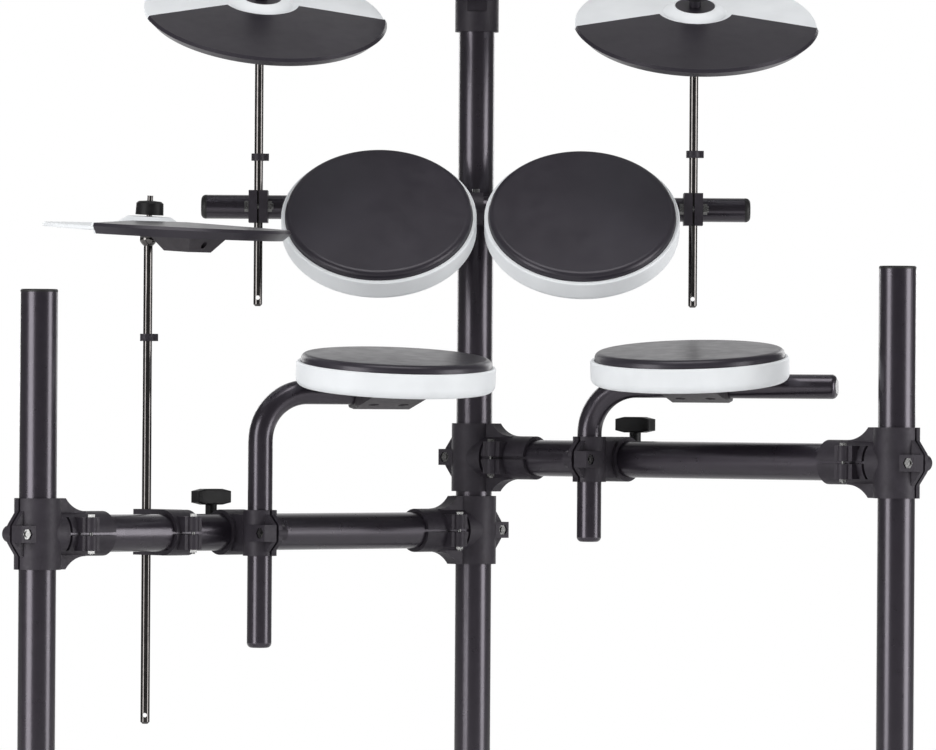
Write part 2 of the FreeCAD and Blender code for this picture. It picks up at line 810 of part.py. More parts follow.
def bow_disc():
    """White disc of a cymbal pad about its own centre, thinning towards the edge."""
    bevel = size["bow_bevel"]
    return revolved([(0, -bow_half_core), (bell_core, -bow_half_core), (cymbal_radius - bevel, -bow_half_edge),
                     (cymbal_radius, bevel - bow_half_edge), (cymbal_radius, bow_half_edge - bevel),
                     (cymbal_radius - bevel, bow_half_edge), (bell_core, bow_half_core), (0, bow_half_core)])


def bow_bell():
    """Raised bell of a cymbal pad about its hole."""
    base = size["bell_base_diameter"] / 2
    top = bow_half_core + size["bell_height"]
    bevel = size["bow_bevel"]
    return revolved([(0, -bow_half_core), (base - size["bell_foot"], -bow_half_core), (base, bow_half_edge),
                     (bell_core + 3 * bevel, top - bevel), (bell_core + bevel, top), (0, top)])


def rubber_slab():
    """Full disc of the rubber's outline: thick at the rim, undercut below, covering the bow above."""
    outer = cymbal_radius + size["rubber_wrap"]
    low = bow_half_edge + size["rubber_cover"] - size["rubber_edge"]
    high = bow_half_core + size["rubber_cover"]
    bevel = size["rubber_bevel"]
    return revolved([(0, low), (outer - size["rubber_undercut"], low), (outer, bow_half_edge),
                     (outer - bevel, bow_half_edge + size["rubber_cover"]), (bell_core, high), (0, high)])


def rubber_inside():
    """Space inside the rubber's rim band: the bow above, and the hollow under it."""
    band = cymbal_radius - size["rubber_band"]
    slope = size["bow_swell"] / (cymbal_radius - size["bow_bevel"] - bell_core)
    rise = bow_half_edge + (size["rubber_band"] - size["bow_bevel"]) * slope
    return revolved([(0, -size["rubber_edge"]), (band, -size["rubber_edge"]), (band, rise),
                     (bell_core, bow_half_core), (0, bow_half_core)])


def rubber_band_room():
    """Ring at the bow's edge that the rubber's rim band takes up."""
    half = size["rubber_edge"]
    band = cymbal_radius - size["rubber_band"]
    return cut(cylinder(cymbal_radius + OVERCUT, 2 * half, (0, 0, -half)),
               cylinder(band, 4 * half, (0, 0, -2 * half)))


def sector_wedge(offset):
    """Wedge over the playing sector, its sides moved out by an offset."""
    half_angle = size["sector_angle"] / 2
    reach = 2 * size["cymbal_diameter"]
    apex = offset / sine(half_angle)
    across = reach * sine(half_angle)
    along = apex - reach * cosine(half_angle)
    return padded([(0, apex), (-across, along), (-across, -reach), (across, -reach), (across, along)],
                  size["cymbal_diameter"], "XY_Plane")


def sensor_box():
    """Tapered box under the sector with a jack hole in its front, trimmed to the bow and the ball seat."""
    wide = size["sensor_box_top"] / 2
    narrow = size["sensor_box_bottom"] / 2
    deep = size["sensor_box_height"]
    ceiling = size["bow_lift"] - bow_half_edge
    middle = -size["sensor_box_offset"]
    shell = doc.addObject("Part::Wedge", "SensorBox")
    for name, value in (("Xmin", -wide), ("Xmax", wide), ("Zmin", -wide), ("Zmax", wide), ("Ymin", 0),
                        ("Ymax", deep), ("X2min", -narrow), ("X2max", narrow), ("Z2min", -narrow),
                        ("Z2max", narrow)):
        bind(shell, name, value)
    shell.Placement = place((0, middle, ceiling), turn(-HALF_TURN / 2, AXIS_X))
    jack_z = ceiling - size["jack_drop"]
    jack = cylinder(size["jack_diameter"] / 2, wide, (0, middle - narrow / 2, jack_z), (0, -1, 0))
    ball_room = sphere(size["ball_diameter"])
    return cut(shell, cymbal_centred(bow_disc()), on_bell(bow_bell()), ball_room, jack)


def cymbal_centred(thing):
    return moved(thing, place((0, -size["cymbal_hole_offset"], size["bow_lift"])))


def on_bell(thing):
    return moved(thing, place((0, 0, size["bow_lift"])))


def cymbal(name, pivot, tilt, yaw, neck):
    """Cymbal pad on a ball seat: white bow, rubber playing sector, sensor box and nut.

    In the cymbal's own frame the ball centre is the origin and the sector faces -Y. Returns that frame.
    """
    frame = place(pivot, turn(yaw)).multiply(place(rotation=turn(tilt, AXIS_X)))
    top = size["bow_lift"] + bow_half_core + size["bell_height"]
    hole = size["stud_hole_diameter"] / 2
    washer_z = top - size["washer_depth"]
    slab = cymbal_centred(rubber_slab())
    wedge = sector_wedge(0)
    clear = [cymbal_centred(rubber_inside()),
             cylinder(size["sector_inner_radius"], 2 * cymbal_radius, (0, 0, -cymbal_radius))]
    sector = cut(common(slab, wedge), *clear)
    lip = cut(common(slab, sector_wedge(size["sector_lip"])), wedge, *clear)
    openings = [
        cylinder(hole, top + OVERCUT),
        sphere(size["ball_diameter"] / 2 + size["seat_gap"]),
        cylinder(bell_core, top, (0, 0, washer_z)),
        common(cymbal_centred(rubber_band_room()), wedge),
        sector,
    ]
    node(f"{name}_bow", cut(fuse(cymbal_centred(bow_disc()), on_bell(bow_bell()), lip), *openings), frame)

    washer = cut(fuse(cylinder(bell_core - size["seat_gap"], size["washer_depth"], (0, 0, washer_z)),
                      cylinder(hole + size["neck_wall"], neck + size["washer_depth"], (0, 0, washer_z))),
                 cylinder(hole, neck + top + OVERCUT))
    node(f"{name}_rubber", group(sector, washer), frame)
    node(f"{name}_sensor_box", sensor_box(), frame)

    radius = size["nut_diameter"] / 2
    height = size["nut_height"]
    crown = size["nut_crown"]
    nut = revolved([(0, 0), (radius, 0), (radius - size["nut_taper"], height - crown),
                    (radius - crown, height - crown / 3), (0, height)])
    stud_bore = size["stud_diameter"] / 2 + size["tube_clearance"]
    node(f"{name}_nut", cut(nut, cylinder(stud_bore, height + OVERCUT)),
         frame.multiply(place((0, 0, top + neck + size["nut_gap"]))))
    return frame


def cymbal_rod(name, foot, pivot_z, frame, neck):
    """Upright rod with a cross hole near its chamfered foot, a ball seat and a tilted stud."""
    length = pivot_z - foot[2]
    nose = size["rod_nose"]
    rod = revolved([(0, 0), (cymbal_rod_radius - nose, 0), (cymbal_rod_radius, nose),
                    (cymbal_rod_radius, length), (0, length)])
    rod.Placement = place(foot)
    ball = sphere(size["ball_diameter"] / 2)
    ball.Placement = frame
    stud = cylinder(size["stud_diameter"] / 2, size["stud_length"] + neck)
    stud.Placement = frame
    hole_y = foot[1] - size["cymbal_rod_diameter"]
    cross_hole = cylinder(size["cross_hole_diameter"] / 2, 2 * size["cymbal_rod_diameter"],
                          (foot[0], hole_y, foot[2] + size["cross_hole_height"]), AXIS_Y)
    node(f"{name}_rod", cut(fuse(rod, ball, stud), cross_hole))


def stop_collar(name, middle):
    """Ring on a cymbal rod with a set screw's hole in the lug on its right."""
    radius = size["collar_diameter"] / 2
    height = size["collar_height"]
    lug = size["collar_lug"]
    solid = fuse(cylinder(radius, height, (0, 0, -height / 2)),
                 box(radius + lug, size["collar_lug_width"], height, ((radius + lug) / 2, 0, 0)))
    bores = [
        cylinder(cymbal_rod_bore, 2 * height, (0, 0, -height)),
        cylinder(size["collar_screw_diameter"] / 2, 2 * radius, (0, 0, 0), AXIS_X),
    ]
    node(f"{name}_collar", cut(solid, *bores), place(middle))


def cap_screw(grip, at, axis):
    """Small screw with its head outside the start of the grip."""
    head = size["screw_head_height"]
    thing = fuse(cylinder(size["screw_head_diameter"] / 2, head, (0, 0, -head)), cylinder(bolt_radius, grip))
    thing.Placement = place(at, FreeCAD.Rotation(vector(AXIS_Z), vector(axis)))
    return thing


def cymbal_rod_clamp(placement):
    """Clamp on a bar along X that holds an upright cymbal rod on the -Y side. Returns clamp and bolt."""
    width = size["rod_clamp_width"]
    height = size["rod_clamp_height"]
    rod_y = -size["cymbal_rod_offset"]
    bolt_y = rod_y - cymbal_rod_radius - bolt_hole - size["rod_clamp_web_wall"]
    front = bolt_y - bolt_hole - size["rod_clamp_front_wall"]
    solid = fuse(cylinder(height / 2, width, (-width / 2, 0, 0), AXIS_X),
                 box(width, -front, height, (0, front / 2, 0)))
    bores = [
        cylinder(bar_bore, width * 2, (-width, 0, 0), AXIS_X),
        cylinder(cymbal_rod_bore, height * 2, (0, rod_y, -height)),
        box(size["rod_clamp_gap"], -front, height * 2, (0, rod_y + front / 2, 0)),
        cylinder(bolt_hole, width * 2, (-width, bolt_y, 0), AXIS_X),
    ]
    clamp = moved(cut(solid, *bores), placement)
    return clamp, moved(hex_bolt(width, (-width / 2, bolt_y, 0), AXIS_X), placement)


def crossbar_bracket():
    """Split collar on the centre post with a ring that carries the crossbar. Returns its bolts."""
    height = size["rod_clamp_height"]
    width = size["bracket_width"]
    ring = bar_bore + size["bracket_wall"]
    ear_solids, ear_cuts, ear_bolt = split_ears(ring_radius, post_bore, size["bracket_ear_root"], 1)
    behind = place(rotation=turn(-HALF_TURN / 2))
    for thing in ear_solids + ear_cuts + [ear_bolt]:
        moved(thing, behind)
    solid = fuse(
        cylinder(ring_radius, height, (0, 0, -height / 2)),
        cylinder(ring, width, (-width / 2, crossbar_y, 0), AXIS_X),
        box(width, size["crossbar_offset"], size["bracket_ear_root"], (0, crossbar_y / 2, 0)),
        *ear_solids,
    )
    bores = [
        cylinder(post_bore, height * 2, (0, 0, -height)),
        cylinder(bar_bore, width * 2, (-width, crossbar_y, 0), AXIS_X),
        cylinder(bolt_hole, ring, (0, crossbar_y, 0)),
        *ear_cuts,
    ]
    level = place((0, 0, crossbar_z))
    node("crossbar_bracket", cut(solid, *bores), level)
    bolts = [ear_bolt, cap_screw(ring - bar_bore, (0, crossbar_y, ring), (0, 0, -1))]
    return [moved(bolt, level) for bolt in bolts]


def module_holder():
    """Cap sleeve on the centre post with a fork for the module's tongue. Returns its pivot bolt."""
    bottom = centre_post_top - size["holder_depth"]
    outer = post_bore + size["holder_wall"]
    roof = centre_post_top + size["holder_wall"] + size["seat_gap"]
    inside = size["tongue_thickness"] / 2 + size["seat_gap"]
    cheek = size["fork_cheek"]
    solids = [cylinder(outer, roof - bottom, (0, 0, bottom))]
    for side in (-1, 1):
        start = inside if side > 0 else -inside - cheek
        solids.append(box(cheek, size["tongue_radius"] * 2, module_pivot_z - centre_post_top,
                          (start + cheek / 2, 0, (module_pivot_z + centre_post_top) / 2)))
        solids.append(cylinder(size["tongue_radius"], cheek, (start, 0, module_pivot_z), AXIS_X))
    bore_depth = size["holder_depth"] + size["seat_gap"]
    recess = box(size["holder_recess_width"], outer, 2 * size["holder_depth"],
                 (0, -outer / 2 - outer + size["holder_recess_depth"],
                  bottom + size["holder_recess_lift"] + size["holder_depth"]))
    bores = [cylinder(post_bore, bore_depth, (0, 0, bottom)),
             cylinder(bolt_hole, outer * 4, (-outer * 2, 0, module_pivot_z), AXIS_X), recess]
    node("module_holder", cut(fuse(*solids), *bores))
    grip = 2 * (inside + cheek)
    return hex_bolt(grip, (-grip / 2, 0, module_pivot_z), AXIS_X)


def module():
    """Sound module in a tilting case with a dial and a volume knob on its face."""
    frame = place((0, 0, module_pivot_z), turn(size["module_tilt"], AXIS_X))
    floor = size["tongue_radius"] + size["module_floor_gap"]
    half = size["module_depth"] / 2
    width = size["module_width"]
    top = floor + size["module_height"]
    brow = size["module_brow"]
    case = padded([(-half, floor), (half, floor), (half, top), (brow - half, top), (-half, top - brow)], width)
    case = rounded(case, size["module_round"], lambda edge: edge.Length > TOLERANCE)
    display = box(size["display_width"], size["display_depth"], 2 * size["display_recess"],
                  (0, size["display_shift"], top))
    tongue = fuse(cylinder(size["tongue_radius"], size["tongue_thickness"],
                           (-size["tongue_thickness"] / 2, 0, 0), AXIS_X),
                  box(size["tongue_thickness"], size["tongue_radius"] * 2, floor + size["module_round"],
                      (0, 0, (floor + size["module_round"]) / 2)))
    hole = cylinder(bolt_radius + size["tube_clearance"], width, (-width / 2, 0, 0), AXIS_X)
    node("module_case", cut(fuse(case, tongue), hole, display), frame)
    for name, across in (("dial", size["dial_shift"]), ("volume", -size["volume_shift"])):
        radius = size[f"{name}_diameter"] / 2
        tall = size[f"{name}_height"]
        dish = size["knob_dish"]
        body = revolved([(0, 0), (radius, 0), (radius - dish, tall - dish), (radius - 2 * dish, tall),
                         (radius / 2, tall), (radius / 2 - dish, tall - dish), (0, tall - dish)])
        spot = place((across, size["knob_shift"], top + size["seat_gap"]))
        node(f"module_{name}", body, frame.multiply(spot))


def build_stand():
    node("centre_post", post(centre_post_top))
    node("centre_foot", foot_plug())
    bar_level = place((0, crossbar_y, crossbar_z))
    node("tom_crossbar", tube(bar_radius, 2 * crossbar_half, (-crossbar_half, 0, 0), AXIS_X), bar_level)
    plugs = []
    for side in (-1, 1):
        plug = dome_plug(bar_radius)
        plug.Placement = place((side * crossbar_half, 0, 0), turn(side * HALF_TURN / 2, AXIS_Y))
        plugs.append(plug)
    node("crossbar_plugs", group(*plugs), bar_level)
    bolts = crossbar_bracket()
    clamps = []
    for side in (-1, 1):
        clamp, bolt = cymbal_rod_clamp(place((side * rod_spread, crossbar_y, crossbar_z)))
        clamps.append(clamp)
        bolts.append(bolt)
    node("cymbal_rod_clamps", group(*clamps))
    bolts.append(module_holder())
    node("stand_bolts", group(*bolts))
    module()


def build_wings():
    """Both wings with their rod clamps. Returns the frames on the rails that carry the rods."""
    left_angle = HALF_TURN + float(size["left_wing_angle"])
    right_angle = -float(size["right_wing_angle"])
    left_bolts = wing("left", left_angle, size["left_wing_reach"], left_rail_z,
                      left_rail_z + size["left_post_rise"])
    right_bolts = wing("right", right_angle, size["right_wing_reach"], right_rail_z,
                       right_rail_z + size["right_post_rise"])
    hi_hat_distance = size["left_wing_reach"] - size["hi_hat_clamp_setback"]
    snare_distance = hi_hat_distance - size["rod_clamp_spacing"]
    snare_spot = rail_point(left_angle, snare_distance, left_rail_z, 1)
    hi_hat_spot = rail_point(left_angle, hi_hat_distance, left_rail_z, 1)
    floor_spot = rail_point(right_angle, size["floor_tom_clamp_distance"], right_rail_z, -1)
    left_bolts.append(bar_rod_clamp("snare_rod_clamp", 1, snare_spot))
    left_bolts.append(hi_hat_rod_clamp("hi_hat_rod_clamp", hi_hat_spot))
    right_bolts.append(bar_rod_clamp("floor_tom_rod_clamp", -1, floor_spot))
    wing_bolt("snare_wing_bolt", snare_spot)
    wing_bolt("floor_tom_wing_bolt", floor_spot)
    node("left_wing_bolts", group(*left_bolts))
    node("right_wing_bolts", group(*right_bolts))
    return snare_spot, hi_hat_spot, floor_spot


def build_pads(snare_spot, floor_spot):
    snare_turn = float(size["snare_arm_angle"])
    floor_turn = -float(size["floor_tom_arm_angle"])
    for name, spot, angle, upright, arm in (
            ("snare", snare_spot, snare_turn, size["rod_long_leg"], size["rod_short_leg"]),
            ("floor_tom", floor_spot, floor_turn, size["rod_short_leg"], size["rod_long_leg"])):
        top = spot.multVec(vector((0, size["bar_rod_offset"], size[f"{name}_arm_rise"])))
        corner = place(top, turn(angle))
        bent_rod(f"{name}_rod", upright, arm, corner)
        pad(name, corner.multVec(vector((size[f"{name}_pad_distance"], 0, 0))), angle, size[f"{name}_tilt"])
    for name, side in (("left_tom", -1), ("right_tom", 1)):
        across = size["tom_shift"] + side * tom_reach
        pad(name, (across, crossbar_y, crossbar_z), 0, size["tom_tilt"])


def build_cymbals(hi_hat_spot):
    rod_y = crossbar_y - size["cymbal_rod_offset"]
    hi_hat_base = hi_hat_spot.multVec(vector((0, -size["hi_hat_rod_offset"], 0)))
    for name, across, along, level in (("crash", -rod_spread, rod_y, crossbar_z),
                                       ("ride", rod_spread, rod_y, crossbar_z),
                                       ("hi_hat", hi_hat_base.x, hi_hat_base.y, left_rail_z)):
        pivot_z = level + size[f"{name}_pivot_rise"]
        neck = size[f"{name}_neck"]
        frame = cymbal(name, (across, along, pivot_z), size[f"{name}_tilt"], size[f"{name}_yaw"], neck)
        cymbal_rod(name, (across, along, level - size[f"{name}_rod_tail"]), pivot_z, frame, neck)
        stop_collar(name, (across, along, level + size[f"{name}_collar_rise"]))


def check_document():
    doc.recompute()
    for thing in doc.Objects:
        if "Invalid" in thing.State or "Error" in thing.State:
            raise RuntimeError(f"{thing.Name} ({thing.Label}) failed: {thing.State}")
    for label, thing in nodes.items():
        if thing.Shape.isNull() or not thing.Shape.isValid() or not thing.Shape.Solids:
            raise RuntimeError(f"{label} has no valid solid")


def export():
    os.makedirs("parts", exist_ok=True)
    for label, thing in nodes.items():
        thing.Shape.exportStep(f"parts/{label}.step")
    print(len(nodes), "nodes written")


build_stand()
spots = build_wings()
build_pads(spots[0], spots[2])
build_cymbals(spots[1])
check_document()
export()
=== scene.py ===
import bmesh
import bpy
import json
import math
from mathutils import Matrix, Vector


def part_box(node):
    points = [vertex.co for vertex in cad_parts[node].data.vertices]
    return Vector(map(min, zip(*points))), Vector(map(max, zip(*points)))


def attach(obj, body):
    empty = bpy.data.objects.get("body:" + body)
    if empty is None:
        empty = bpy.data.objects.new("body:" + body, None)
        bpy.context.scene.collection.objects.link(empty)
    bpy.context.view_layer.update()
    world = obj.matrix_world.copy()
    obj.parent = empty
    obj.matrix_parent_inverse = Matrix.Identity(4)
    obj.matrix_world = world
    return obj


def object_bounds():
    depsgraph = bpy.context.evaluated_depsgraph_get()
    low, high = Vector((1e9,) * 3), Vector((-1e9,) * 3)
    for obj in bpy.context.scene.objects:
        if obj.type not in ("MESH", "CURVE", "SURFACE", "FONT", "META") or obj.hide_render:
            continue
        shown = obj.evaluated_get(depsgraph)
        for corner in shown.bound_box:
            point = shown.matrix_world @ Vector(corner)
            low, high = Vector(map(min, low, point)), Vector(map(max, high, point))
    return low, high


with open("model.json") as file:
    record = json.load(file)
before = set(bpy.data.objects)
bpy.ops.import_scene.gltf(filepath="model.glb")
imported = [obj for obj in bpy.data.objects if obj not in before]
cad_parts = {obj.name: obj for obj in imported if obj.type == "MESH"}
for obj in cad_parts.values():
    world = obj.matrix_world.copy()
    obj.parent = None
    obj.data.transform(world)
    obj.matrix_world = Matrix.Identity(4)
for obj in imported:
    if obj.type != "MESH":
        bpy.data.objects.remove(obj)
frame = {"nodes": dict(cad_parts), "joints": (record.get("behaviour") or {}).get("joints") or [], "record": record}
cadLow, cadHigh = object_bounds()
nodes = frame["nodes"]
joints = {joint["name"]: joint for joint in frame["joints"]}

scene = bpy.context.scene
scene.view_settings.view_transform = "Standard"

# Camera: a long lens in front of the drummer's seat, level, with a slight roll
photoCamera = {
    "imageWidth": 936,          # pixels
    "focalLength": 7540,        # pixels
    "horizonBelowMiddle": 19,   # pixels
    "sensorWidth": 36.0,        # millimetres
    "sideways": -0.007,         # metres from the centre post
    "distance": 8.0,            # metres in front of it
    "height": 0.654,            # metres above the floor
    "roll": 0.387,              # degrees
    "farClip": 100,             # metres
}


def addCamera(c):
    data = bpy.data.cameras.new("photoCamera")
    data.sensor_width = c["sensorWidth"]
    data.lens = c["focalLength"] / c["imageWidth"] * c["sensorWidth"]
    data.clip_end = c["farClip"]
    camera = bpy.data.objects.new("photoCamera", data)
    scene.collection.objects.link(camera)
    pitch = math.atan(c["horizonBelowMiddle"] / c["focalLength"])
    level = Matrix.Rotation(math.pi / 2 + pitch, 4, "X")
    roll = Matrix.Rotation(math.radians(c["roll"]), 4, "Z")
    place = Matrix.Translation((c["sideways"], -c["distance"], c["height"]))
    camera.matrix_world = place @ level @ roll
    scene.camera = camera


addCamera(photoCamera)
print("camera set")

# Light: two tall boxes give the tubes their pair of stripes, a wide one fills from above
frontBox = {"distance": 2.6, "height": 0.72, "size": (1.15, 1.7), "power": 32}
topBox = {"distance": 1.1, "height": 3.0, "size": (1.8, 1.2), "power": 25}
backBox = {"distance": 2.8, "height": 1.3, "size": (0.8, 1.4), "power": 10}
softBoxes = (
    ("leftBox", frontBox, -46),
    ("rightBox", frontBox, 66),
    ("topBox", topBox, 0),
    ("backLeftBox", backBox, -150),
    ("backRightBox", backBox, 150),
)
lightAim = Vector((0, 0, 0.75))


def addSoftBox(name, b, azimuth):
    data = bpy.data.lights.new(name, "AREA")
    data.shape = "RECTANGLE"
    data.size, data.size_y = b["size"]
    data.energy = b["power"]
    lamp = bpy.data.objects.new(name, data)
    lamp.visible_camera = False
    scene.collection.objects.link(lamp)
    turn = math.radians(azimuth)
    aside, ahead = math.sin(turn) * b["distance"], math.cos(turn) * b["distance"]
    lamp.location = (aside, -ahead, b["height"])
    lamp.rotation_euler = (lightAim - lamp.location).to_track_quat("-Z", "Y").to_euler()


for boxName, box, boxAzimuth in softBoxes:
    addSoftBox(boxName, box, boxAzimuth)

studio = {
    "ambient": 0.42,                # the room's light on dull surfaces
    "backdrop": 1.0,                # the white that the camera sees
    "roomShade": 0.16,              # what mirrors see beside the white wall
    "backdropNear": (0.0, 0.3),     # where the wall starts and ends, by direction
    "backdropSides": (0.20, 0.50),
    "backdropTop": (0.33, 0.93),
    "floorShade": 0.80,
    "floorRoughness": 0.9,
    "floorRadius": 4.0,             # metres
    "floorSides": 96,
    "floorGap": 0.0005,             # metres below the feet
    "fade": (1.0, 2.2),             # metres from the stand to where the floor turns white
}


def spanned(tree, value, limits, ends=(0, 1), style="SMOOTHSTEP"):
    span = tree.nodes.new("ShaderNodeMapRange")
    span.interpolation_type = style
    span.inputs["From Min"].default_value, span.inputs["From Max"].default_value = limits
    span.inputs["To Min"].default_value, span.inputs["To Max"].default_value = ends
    tree.links.new(value, span.inputs["Value"])
    return span.outputs["Result"]


def combine(tree, operation, *values):
    maths = tree.nodes.new("ShaderNodeMath")
    maths.operation = operation
    for value, socket in zip(values, maths.inputs):
        tree.links.new(value, socket)
    return maths.outputs[0]


def pick(tree, chooser, no, yes):
    mix = tree.nodes.new("ShaderNodeMix")
    for socket, value in ((mix.inputs["A"], no), (mix.inputs["B"], yes)):
        if isinstance(value, float):
            socket.default_value = value
        else:
            tree.links.new(value, socket)
    tree.links.new(chooser, mix.inputs["Factor"])
    return mix.outputs["Result"]


def backdropInMirrors(tree, s):
    heading = tree.nodes.new("ShaderNodeTexCoord")
    parts = tree.nodes.new("ShaderNodeSeparateXYZ")
    tree.links.new(heading.outputs["Generated"], parts.inputs[0])
    sideways = combine(tree, "ABSOLUTE", parts.outputs["X"])
    behind = spanned(tree, parts.outputs["Y"], s["backdropNear"])
    narrow = spanned(tree, sideways, s["backdropSides"], (1, 0))
    low = spanned(tree, parts.outputs["Z"], s["backdropTop"], (1, 0))
    wall = combine(tree, "MULTIPLY", combine(tree, "MULTIPLY", behind, narrow), low)
    return pick(tree, wall, s["roomShade"], s["backdrop"])


def lightWorld(s):
    world = bpy.data.worlds.new("whiteStudio")
    scene.world = world
    world.use_nodes = True
    tree = world.node_tree
    background = tree.nodes["Background"]
    background.inputs["Color"].default_value = (1, 1, 1, 1)
    path = tree.nodes.new("ShaderNodeLightPath")
    glossy, through = path.outputs["Is Glossy Ray"], path.outputs["Is Transmission Ray"]
    shiny = combine(tree, "MAXIMUM", glossy, through)
    strength = pick(tree, shiny, s["ambient"], backdropInMirrors(tree, s))
    strength = pick(tree, path.outputs["Is Camera Ray"], strength, s["backdrop"])
    tree.links.new(strength, background.inputs["Strength"])


def layFloor(s):
    mesh = bpy.data.meshes.new("studioFloor")
    sides, radius = s["floorSides"], s["floorRadius"]
    turns = [2 * math.pi * i / sides for i in range(sides)]
    edge = [(math.cos(a) * radius, math.sin(a) * radius, 0) for a in turns]
    mesh.from_pydata(edge, [], [range(sides)])
    floor = bpy.data.objects.new("studioFloor", mesh)
    scene.collection.objects.link(floor)
    floor.location.z = cadLow.z - s["floorGap"]
    material = bpy.data.materials.new("paleFloor")
    material.use_nodes = True
    tree = material.node_tree
    paint = tree.nodes["Principled BSDF"]
    paint.inputs["Base Color"].default_value = (*[s["floorShade"]] * 3, 1)
    paint.inputs["Roughness"].default_value = s["floorRoughness"]
    white = tree.nodes.new("ShaderNodeEmission")    # the floor fades into the backdrop
    white.inputs["Strength"].default_value = s["backdrop"]
    place = tree.nodes.new("ShaderNodeTexCoord")
    reach = tree.nodes.new("ShaderNodeVectorMath")
    reach.operation = "LENGTH"
    tree.links.new(place.outputs["Object"], reach.inputs[0])
    mix = tree.nodes.new("ShaderNodeMixShader")
    tree.links.new(spanned(tree, reach.outputs["Value"], s["fade"]), mix.inputs["Fac"])
    tree.links.new(paint.outputs["BSDF"], mix.inputs[1])
    tree.links.new(white.outputs["Emission"], mix.inputs[2])
    tree.links.new(mix.outputs["Shader"], tree.nodes["Material Output"].inputs["Surface"])
    mesh.materials.append(material)


lightWorld(studio)
layFloor(studio)
print("studio lit")

# Finishes: colour mottle, uneven polish and a fine relief, each from its own grain.
# mottle and relief are grain size in metres and detail, polish a size, depth in metres
grainSpan = (0.3, 0.7)          # most of the grain lies between these
evenStretch = (1, 1, 1)
bumpStrength = 0.5


def grain(material, size, detail=3, stretch=evenStretch):
    tree = material.node_tree
    place = tree.nodes.new("ShaderNodeTexCoord")
    scaled = tree.nodes.new("ShaderNodeMapping")
    scaled.inputs["Scale"].default_value = stretch
    tree.links.new(place.outputs["Object"], scaled.inputs["Vector"])
    noise = tree.nodes.new("ShaderNodeTexNoise")
    noise.inputs["Scale"].default_value = 1 / size
    noise.inputs["Detail"].default_value = detail
    tree.links.new(scaled.outputs["Vector"], noise.inputs["Vector"])
    return noise.outputs["Fac"]


def mixFinish(name, p):
    material = bpy.data.materials.new(name)
    material.use_nodes = True
    tree = material.node_tree
    shader = tree.nodes["Principled BSDF"]
    for socket, value in p.get("shader", {}).items():
        shader.inputs[socket].default_value = value
    ramp = tree.nodes.new("ShaderNodeValToRGB")
    for stop, at, colour in zip(ramp.color_ramp.elements, grainSpan, (p["dark"], p["light"])):
        stop.position, stop.color = at, (*colour, 1)
    tree.links.new(grain(material, *p["mottle"]), ramp.inputs["Fac"])
    tree.links.new(ramp.outputs["Color"], shader.inputs["Base Color"])
    polish = spanned(tree, grain(material, p["polish"]), grainSpan, p["roughness"], "LINEAR")
    tree.links.new(polish, shader.inputs["Roughness"])
    if "relief" in p:
        bump = tree.nodes.new("ShaderNodeBump")
        bump.inputs["Distance"].default_value = p["depth"]
        bump.inputs["Strength"].default_value = bumpStrength
        pattern = grain(material, *p["relief"], p.get("stretch", evenStretch))
        tree.links.new(pattern, bump.inputs["Height"])
        tree.links.new(bump.outputs["Normal"], shader.inputs["Normal"])
    return material


powderCoat = {
    "dark": (0.0078, 0.0062, 0.0092), "light": (0.0106, 0.0086, 0.0123), "mottle": (0.02, 3),
    "roughness": (0.27, 0.32), "polish": 0.008, "relief": (0.0014, 3), "depth": 0.000004,
    "shader": {"Specular IOR Level": 0.65, "Specular Tint": (0.94, 0.84, 1.0, 1),
               "Coat Weight": 0.45, "Coat Roughness": 0.21},
}
mouldedNylon = {
    "dark": (0.0173, 0.0145, 0.0195), "light": (0.0262, 0.0222, 0.0293), "mottle": (0.012, 6),
    "roughness": (0.46, 0.58), "polish": 0.0036, "relief": (0.0007, 5), "depth": 0.00010,
    "shader": {"Specular IOR Level": 0.42, "Specular Tint": (0.98, 0.94, 1.0, 1)},
}
plugPlastic = {
    "dark": (0.010, 0.0095, 0.010), "light": (0.016, 0.015, 0.016), "mottle": (0.006, 6),
    "roughness": (0.45, 0.55), "polish": 0.006, "relief": (0.0005, 5), "depth": 0.00008,
    "shader": {"Specular IOR Level": 0.4},
}
zincSteel = {                   # turned: the relief runs around
    "dark": (0.15, 0.15, 0.15), "light": (0.23, 0.228, 0.223), "mottle": (0.002, 4),
    "roughness": (0.24, 0.36), "polish": 0.0012, "relief": (0.0004, 2), "depth": 0.00003,
    "stretch": (1, 1, 6), "shader": {"Metallic": 1.0},
}
blackChrome = {                 # drawn: the relief runs along the rod
    "dark": (0.090, 0.084, 0.082), "light": (0.125, 0.117, 0.113), "mottle": (0.004, 3),
    "roughness": (0.08, 0.13), "polish": 0.004, "relief": (0.0006, 2), "depth": 0.000005,
    "stretch": (1, 1, 0.04),
    "shader": {"Metallic": 1.0, "Coat Weight": 0.35, "Coat Roughness": 0.06},
}
padRubber = {
    "dark": (0.0203, 0.0178, 0.0238), "light": (0.0273, 0.0242, 0.0316), "mottle": (0.05, 5),
    "roughness": (0.31, 0.38), "polish": 0.015, "relief": (0.0006, 4), "depth": 0.00003,
    "shader": {"Specular IOR Level": 0.45, "Specular Tint": (0.98, 0.94, 1.0, 1)},
}
whiteShell = {
    "dark": (0.74, 0.76, 0.78), "light": (0.79, 0.81, 0.83), "mottle": (0.03, 5),
    "roughness": (0.46, 0.56), "polish": 0.009, "relief": (0.0008, 4), "depth": 0.00005,
    "shader": {"Specular IOR Level": 0.36},
}
basePlastic = {
    "dark": (0.0270, 0.0232, 0.0280), "light": (0.0385, 0.0335, 0.0395), "mottle": (0.015, 6),
    "roughness": (0.46, 0.56), "polish": 0.0045, "relief": (0.0008, 5), "depth": 0.00012,
    "shader": {"Specular IOR Level": 0.4},
}
